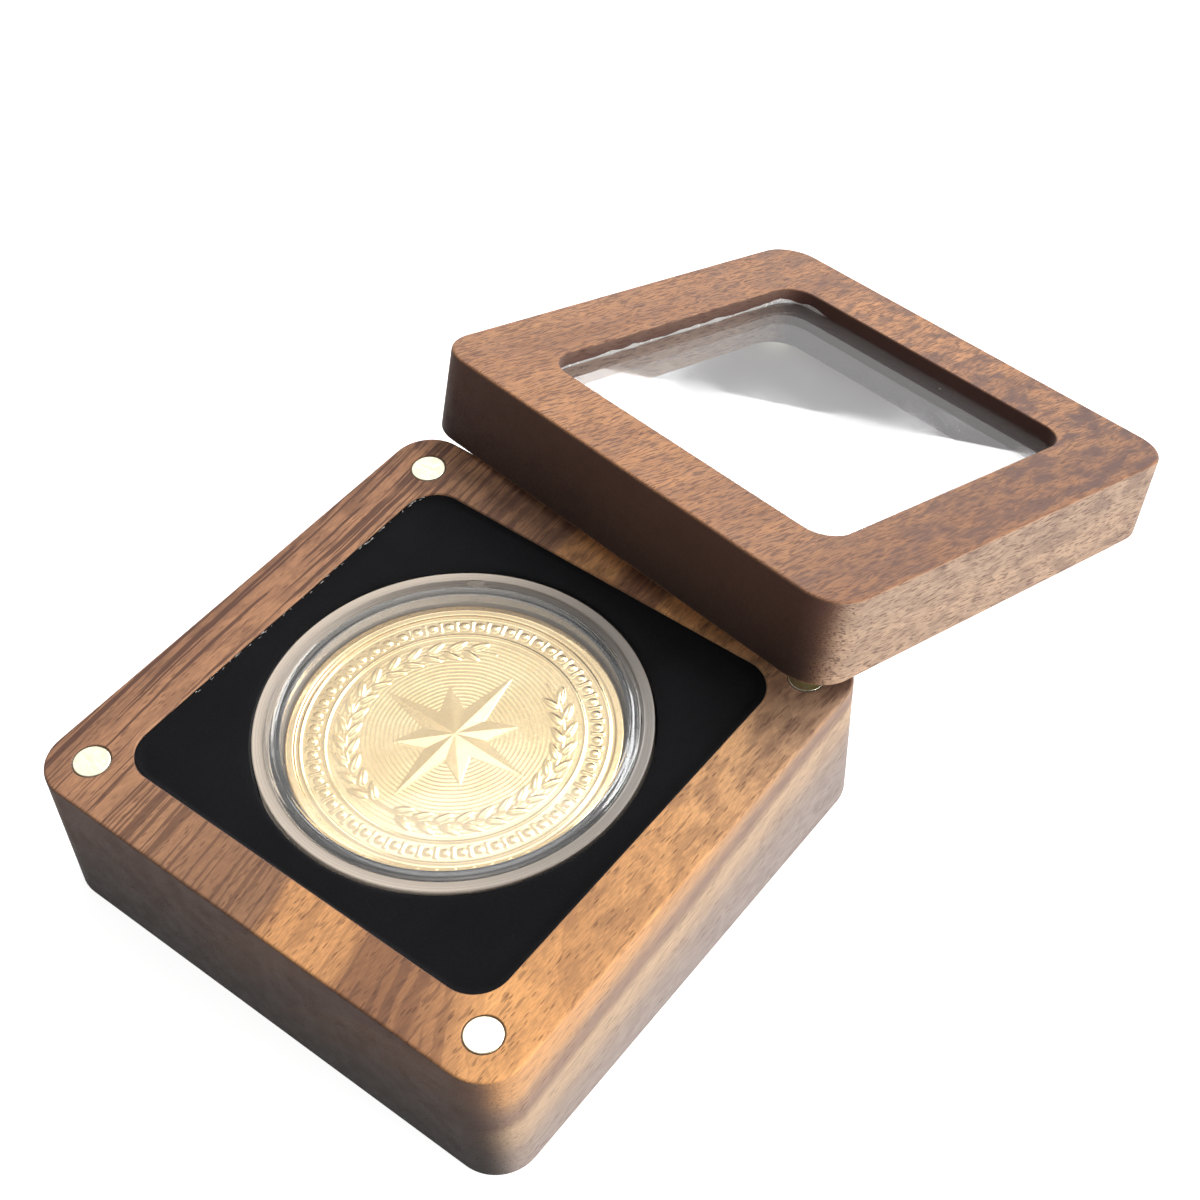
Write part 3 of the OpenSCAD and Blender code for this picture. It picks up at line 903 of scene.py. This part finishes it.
def wreath_height(r, theta):
    """Two laurel branches that rise from the foot on both sides and stay open at the top."""
    x, y = r * np.cos(theta), r * np.sin(theta)
    height = np.zeros_like(x)
    for side in (-1, 1):
        for k in range(LEAF_PAIRS):
            for row in (-1, 1):
                at = -np.pi / 2 + side * (LEAF_STEP + LEAF_STEP * k + (0.06 if row > 0 else 0))
                radius = WREATH_R + row * LEAF_ROW
                cx, cy = radius * np.cos(at), radius * np.sin(at)
                heading = at + side * (np.pi / 2 - row * LEAF_LEAN)
                u = (x - cx) * np.cos(heading) + (y - cy) * np.sin(heading)
                v = -(x - cx) * np.sin(heading) + (y - cy) * np.cos(heading)
                taper = LEAF_WIDE * (1 - 0.35 * u / LEAF_LONG)
                body = np.clip(1 - (u / LEAF_LONG) ** 2 - (v / taper) ** 2, 0, 1)
                leaf = LEAF_RISE * np.sqrt(body) - 0.05 * np.exp(-(v / 0.09) ** 2) * (body > 0.05)
                height = np.maximum(height, leaf)
    stem = 0.07 * np.exp(-((r - WREATH_R) / 0.12) ** 2)
    stem *= np.abs(np.angle(np.exp(1j * (theta - np.pi / 2)))) > 0.3
    return np.maximum(height, stem)


def coin_relief(r, theta):
    """Height in millimetres above the coin's field, at radius r and angle theta."""
    star, in_star = star_height(r, theta)
    wreath = wreath_height(r, theta)
    turned = 0.011 * np.cos(2 * np.pi * (r + 0.03 * np.sin(12 * theta)) / 0.55)
    turned *= smooth_step(r, 3, 4) * (1 - smooth_step(r, 14.6, 14.9))
    height = np.where(in_star, star, turned)
    height = np.where(wreath > 0.02, wreath, height)
    for ring_r in BORDER_RINGS:
        height = np.maximum(height, 0.12 * np.exp(-((r - ring_r) / 0.16) ** 2))
    pitch = 2 * np.pi / BEADS
    off = (theta / pitch - np.round(theta / pitch)) * pitch * r
    bead = 0.16 * np.sqrt(np.clip(1 - (off / 0.55) ** 2 - ((r - BEAD_R) / 0.55) ** 2, 0, 1))
    half_off = (theta / pitch - np.floor(theta / pitch) - 0.5) * pitch * r
    bar = 0.12 * (1 - smooth_step(np.abs(half_off), 0.1, 0.2))
    bar *= 1 - smooth_step(np.abs(r - BEAD_R), 0.7, 0.85)
    height = np.maximum(height, np.maximum(bead, bar))
    rim_from = COIN_R / MM - RIM_W
    return np.maximum(height, RIM_RISE * smooth_step(r, rim_from - 0.15, rim_from + 0.15))


gilt, tree, shader = new_material("pale gold plate")
where = object_place(tree)
lustre = noise_value(tree, where, 2600, 4.0, 0.65)
toning = remap(tree, noise_value(tree, where, 160, 3.0, 0.55), 0.3, 0.7)
feed(tree, shader, {
    "Metallic": 1.0, "Roughness": remap(tree, lustre, 0.3, 0.7, 0.12, 0.2),
    "Base Color": mix_color(tree, toning, (0.71, 0.54, 0.3, 1), (0.79, 0.62, 0.37, 1))})
add_bump(tree, shader, lustre, 0.25, 0.01 * MM)

radii = np.linspace(0, 1, COIN_RINGS + 1)[1:] * FACE_R
angles = np.arange(COIN_STEPS) * 2 * np.pi / COIN_STEPS
grid_r, grid_a = np.meshgrid(radii, angles, indexing="ij")
relief_up = coin_relief(grid_r, np.angle(np.exp(1j * grid_a)))
field_z = COIN_T - RIM_RISE * MM
middle_z = COIN_LOW + COIN_T / 2

bm = bmesh.new()


def coin_face(side, every):
    """One struck face, from its centre outwards: side 1 is up and side -1 down."""
    peak = field_z - COIN_T / 2 + (STAR_RISE + STAR_STEP) * MM
    centre = bm.verts.new((0, 0, middle_z + side * peak))
    loops = []
    for i in range(every - 1, COIN_RINGS, every):
        r = radii[i] * MM
        loop = []
        for j, angle in enumerate(angles):
            z = field_z + relief_up[i, j] * MM - COIN_T / 2
            loop.append(bm.verts.new((r * cos(angle), r * sin(angle), middle_z + side * z)))
        loops.append(loop)
    for j in range(COIN_STEPS):
        bm.faces.new((centre, loops[0][j], loops[0][(j + 1) % COIN_STEPS]))
    loft(bm, loops)
    return loops[-1]


def reeded(z):
    """A loop round the coin's edge that follows its reeds."""
    made = []
    for angle in angles:
        r = COIN_R - REED_DEPTH * (0.5 + 0.5 * cos(REEDS * angle))
        made.append(bm.verts.new((r * cos(angle), r * sin(angle), COIN_LOW + z)))
    return made


upper = coin_face(1, 1)
lower = coin_face(-1, 3)
loft(bm, [upper, reeded(COIN_T - REED_INSET), reeded(REED_INSET), lower])
finish_piece("coin_struck", bm, gilt, "coin", ["coin"], sharp=60)


# Lid: a square walnut frame, routed out below for the pane and cut through for the window. It is
# from a flat-sawn board, paler than the base, and lies tilted on the base's rear edge. Its edges
# are rounded a little more, so that the tilted corner stays inside the lid's own block.
LID_H = 11.9 * MM
LID_EASE = 0.42 * MM
LIP_T = 2 * MM
WINDOW_HALF = 24.65 * MM
WINDOW_CORNER_R = 4 * MM
# Painted shade on the lid: its window walls and recess walls are darkened through negative edge values.
WINDOW_PAINTED_SHADE = (-0.8, -0.95)
RECESS_PAINTED_SHADE = (-0.5, -0.25)
LEAN_OVERHANG = 9.75 * MM
LEAN_SHIFT = 4.64 * MM
LEAN_TURN = radians(-9.28)
LEAN_GAP = 0.25 * MM
TABLE_GAP = 0.05 * MM
lid_core = CASE_HALF - CASE_CORNER_R
lid_reach = lid_core * (abs(cos(LEAN_TURN)) + abs(sin(LEAN_TURN))) + CASE_CORNER_R
lid_slope_y = lid_reach - LEAN_OVERHANG
contact_z = BASE_H + LEAN_GAP
lean_tilt = asin((contact_z - TABLE_GAP) / (lid_slope_y + lid_reach - EASE))
leaning = (Matrix.Translation((LEAN_SHIFT, CASE_HALF, contact_z)) @ Matrix.Rotation(-lean_tilt, 4, "X")
           @ Matrix.Translation((0, lid_slope_y, 0)) @ Matrix.Rotation(LEAN_TURN, 4, "Z"))

LID_RINGS = (
    (58.0, (0.52, 0.27, 0.135, 0.5)), (66.0, (0.54, 0.28, 0.135, 0.5)), (70.0, (0.46, 0.22, 0.1, 0.6)),
    (72.5, (0.56, 0.27, 0.12, 0.5)), (74.5, (0.41, 0.195, 0.092, 0.7)), (77.0, (0.46, 0.226, 0.108, 0.4)),
    (78.6, (0.42, 0.207, 0.1, 0.5)), (79.8, (0.35, 0.17, 0.084, 0.6)), (81.6, (0.35, 0.165, 0.08, 0.5)),
    (84.0, (0.36, 0.17, 0.084, 0.5)))
lid_walnut = walnut("lid walnut", {
    "Pith X": -6.0, "Pith Z": -60.0, "Wander": 6.0, "Curl": 0.9}, {
    "Line Gap": 0.9, "Line Depth": 0.35, "Stroke Width": 0.21, "Stroke Length": 2.4, "Stroke Share": 0.47,
    "Stroke Depth": 0.66, "Pore Depth": 0.6, "Mottle Depth": 0.42, "Dark Wood": (0.1, 0.046, 0.036, 1),
    "Darkening Way": (0.02, 0.026, 0.0), "Painted Side Sheen": 0.42, "End Color": (0.105, 0.05, 0.038, 1),
    "Painted Shade From": -6.0, "Painted Shade To": 13.0}, LID_RINGS, leaning)

bm = bmesh.new()
window = outline(WINDOW_HALF, WINDOW_CORNER_R)
foot_edge, top_edge = block_walls(bm, outer, LID_H, LID_EASE)
window_walls = band(bm, window, (
    (-INNER_EASE, LID_H), (0, LID_H - INNER_EASE, WINDOW_PAINTED_SHADE[0]), (0, LID_H - LIP_T, WINDOW_PAINTED_SHADE[1])))
recess = band(bm, inner, (
    (0, LID_H - LIP_T, RECESS_PAINTED_SHADE[0]), (0, INNER_EASE, RECESS_PAINTED_SHADE[1]), (-INNER_EASE, 0)))
fill(bm, recess[0], window_walls[-1])
fill(bm, top_edge, window_walls[0])
mouths = [pocket(bm, spot, 0, -1) for spot in MAGNET_SPOTS.values()]
fill(bm, foot_edge, recess[-1], *mouths)
finish_piece("lid_frame_wood", bm, lid_walnut, "lid", ["lid_frame"], leaning)
for corner, centre in MAGNET_SPOTS.items():
    magnet("lid_magnet_" + corner, centre, MAGNET_SINK, -1, "lid", leaning)


# Window pane: a sheet of clear acrylic, cut square and polished, held up under the lip by clear
# adhesive. A little dust lies on it.
PANE_T = 2 * MM
ADHESIVE_T = 0.15 * MM
PANE_HALF = RECESS_HALF - 0.2 * MM
PANE_CORNER_R = 4.3 * MM
PANE_EASE = 0.12 * MM
PANE_Z = LID_H - LIP_T - ADHESIVE_T - PANE_T
PANE_TOP = PANE_Z + PANE_T
DUST_COUNT = 28
DUST_REACH = WINDOW_HALF - 1.5 * MM
DUST_LIFT = 0.02 * MM

pane_acrylic = acrylic("pane acrylic", 0.0, (0.97, 0.98, 1, 1), 0.97)
bm = bmesh.new()
loops = band(bm, outline(PANE_HALF, PANE_CORNER_R), (
    (PANE_EASE, PANE_Z), (0, PANE_Z + PANE_EASE), (0, PANE_TOP - PANE_EASE), (PANE_EASE, PANE_TOP)))
fill(bm, loops[0])
fill(bm, loops[-1])
finish_piece("window_pane_clear", bm, pane_acrylic, "lid", ["window_pane"], leaning)

bm = bmesh.new()
for _ in range(DUST_COUNT):
    spot = Vector((rng.uniform(-1, 1), rng.uniform(-1, 1), 0)) * DUST_REACH
    spot.z = PANE_TOP + DUST_LIFT
    size = rng.uniform(0.03, 0.08) * MM
    bmesh.ops.create_icosphere(bm, subdivisions=1, radius=size, matrix=Matrix.Translation(spot))
finish_piece("window_pane_dust", bm, lint, "lid", (), leaning)


# Adhesive: clear glue spread under the lip. Pressing the pane up squeezed out an uneven shiny
# bead along the window's wall, fullest on the left side.
BEAD_TALL = 0.72 * MM
BEAD_WIDE = 0.45 * MM
BEAD_FROM = 0.72
BEAD_FADE = 0.2
FILM_BACK = 0.6 * MM
FILM_REACH = 2.4 * MM
BEAD_STEPS = 8

glue, tree, shader = new_material("clear adhesive")
ripples = noise_value(tree, object_place(tree), 1400, 3.0, 0.6)
feed(tree, shader, {
    "Base Color": (0.86, 0.83, 0.8, 1), "Roughness": remap(tree, ripples, 0.3, 0.7, 0.08, 0.3),
    "Transmission Weight": 0.45, "IOR": 1.46})
add_bump(tree, shader, ripples, 0.6, 0.15 * MM)

bm = bmesh.new()
loops = [[] for _ in range(BEAD_STEPS + 3)]
for point, out in window:
    left = max(0.0, min(1.0, (-point.x / WINDOW_HALF - BEAD_FROM) / BEAD_FADE))
    lump = max(0.04, 0.42 + 0.75 * noise.noise(Vector((point.x, point.y, 0)) * 420))
    fine = 1 + 0.4 * noise.noise(Vector((point.x, point.y, 0.01)) * 1900)
    size = left * lump * fine
    front = 0.02 * MM if left > 0.02 else -FILM_BACK
    film_top = PANE_TOP + ADHESIVE_T
    places = [(-FILM_REACH, PANE_TOP), (-FILM_REACH, film_top), (-FILM_BACK, film_top)]
    for step in range(BEAD_STEPS):
        angle = pi / 2 * step / (BEAD_STEPS - 1)
        places.append((front + size * BEAD_WIDE * sin(angle) ** 1.4,
                       PANE_TOP + (0.8 * ADHESIVE_T + size * BEAD_TALL) * cos(angle) + 0.01 * MM))
    for loop, (inset, z) in zip(loops, places):
        spot = point - out * inset
        loop.append(bm.verts.new((spot.x, spot.y, z)))
loft(bm, loops + loops[:1])
finish_piece("pane_adhesive_bead", bm, glue, "lid", ["pane_adhesive"], leaning, sharp=70)


# Floor and light: a white table that keeps a faint shadow, a soft panel low on the case's right,
# one above and behind it, and two whose reflections show in the coin and the pane. The front is
# left dim, so the near faces fall into shade.
FLOOR_SIZE = 3.0
FLOOR_GLOW = 0.8
GLASS_GLOW = 0.08
FLOOR_WHITE = 0.8
FLOOR_BOUNCE = 0.3
WORLD_FILL = 0.3
DARK_SIDE = 0.3
BRIGHT_WAY = Vector((-0.45, 0.6, 0.66)).normalized()

bm = bmesh.new()
bmesh.ops.create_grid(bm, x_segments=8, y_segments=8, size=FLOOR_SIZE / 2)
floor_mesh = bpy.data.meshes.new("floor")
bm.to_mesh(floor_mesh)
bm.free()
floor = bpy.data.objects.new("floor", floor_mesh)
bpy.context.scene.collection.objects.link(floor)
floor_white, tree, shader = new_material("floor white")
rays = add_node(tree, "LightPath").outputs
in_mirror = calc(tree, "SUBTRACT", rays["Is Glossy Ray"], rays["Is Transmission Ray"], clamp=True)
seen = calc(tree, "MAXIMUM", rays["Is Camera Ray"], in_mirror)
glow = calc(tree, "MAXIMUM", times(tree, seen, FLOOR_GLOW),
            times(tree, rays["Is Transmission Ray"], GLASS_GLOW))
feed(tree, shader, {
    "Base Color": remap(tree, rays["Is Diffuse Ray"], 0, 1, FLOOR_WHITE, FLOOR_BOUNCE),
    "Roughness": 1.0, "Specular IOR Level": 0.0,
    "Emission Color": (1, 1, 1, 1), "Emission Strength": glow})
floor.data.materials.append(floor_white)

world = bpy.data.worlds.new("world")
bpy.context.scene.world = world
world.use_nodes = True
tree = world.node_tree
rays = add_node(tree, "LightPath").outputs
where = add_node(tree, "TexCoord")
to_bright = vector_calc(tree, "DOT_PRODUCT", where.outputs["Generated"], BRIGHT_WAY, output="Value")
glossy = times(tree, remap(tree, to_bright, 0.1, 0.85, DARK_SIDE, 1.0), rays["Is Glossy Ray"])
level = calc(tree, "MAXIMUM", rays["Is Camera Ray"], rays["Is Transmission Ray"])
level = calc(tree, "MAXIMUM", calc(tree, "MAXIMUM", level, glossy), WORLD_FILL)
feed(tree, tree.nodes["Background"], {"Color": (1, 1, 1, 1), "Strength": level})


def panel(name, azimuth, elevation, distance, size, radiance, roll=0, aim=(0, 0.02, 0.01)):
    """A soft panel seen from the case at these angles in degrees, as bright as radiance."""
    data = bpy.data.lights.new(name, "AREA")
    data.shape = "RECTANGLE"
    data.size, data.size_y = size
    data.energy = radiance * pi * size[0] * size[1]
    lamp = bpy.data.objects.new(name, data)
    turn = radians(azimuth)
    rise = radians(elevation)
    way = Vector((cos(turn) * cos(rise), sin(turn) * cos(rise), sin(rise)))
    tilt = way.to_track_quat("Z", "Y") @ Matrix.Rotation(radians(roll), 3, "Z").to_quaternion()
    lamp.matrix_world = Matrix.Translation(Vector(aim) + way * distance) @ tilt.to_matrix().to_4x4()
    lamp.visible_camera = False
    bpy.context.scene.collection.objects.link(lamp)


panel("right panel", 8, 13, 0.8, (0.55, 0.4), 8.7)
panel("back panel", 88, 50, 0.8, (0.45, 0.4), 9.2)
panel("coin glare panel", 130, 62.2, 1.0, (0.34, 0.28), 1.6, aim=(0, 0, 0.017))
panel("window glare panel", 112, 16.75, 3.0, (1.4, 0.6), 4.5, roll=9.8, aim=(0.0046, 0.07, 0.02))
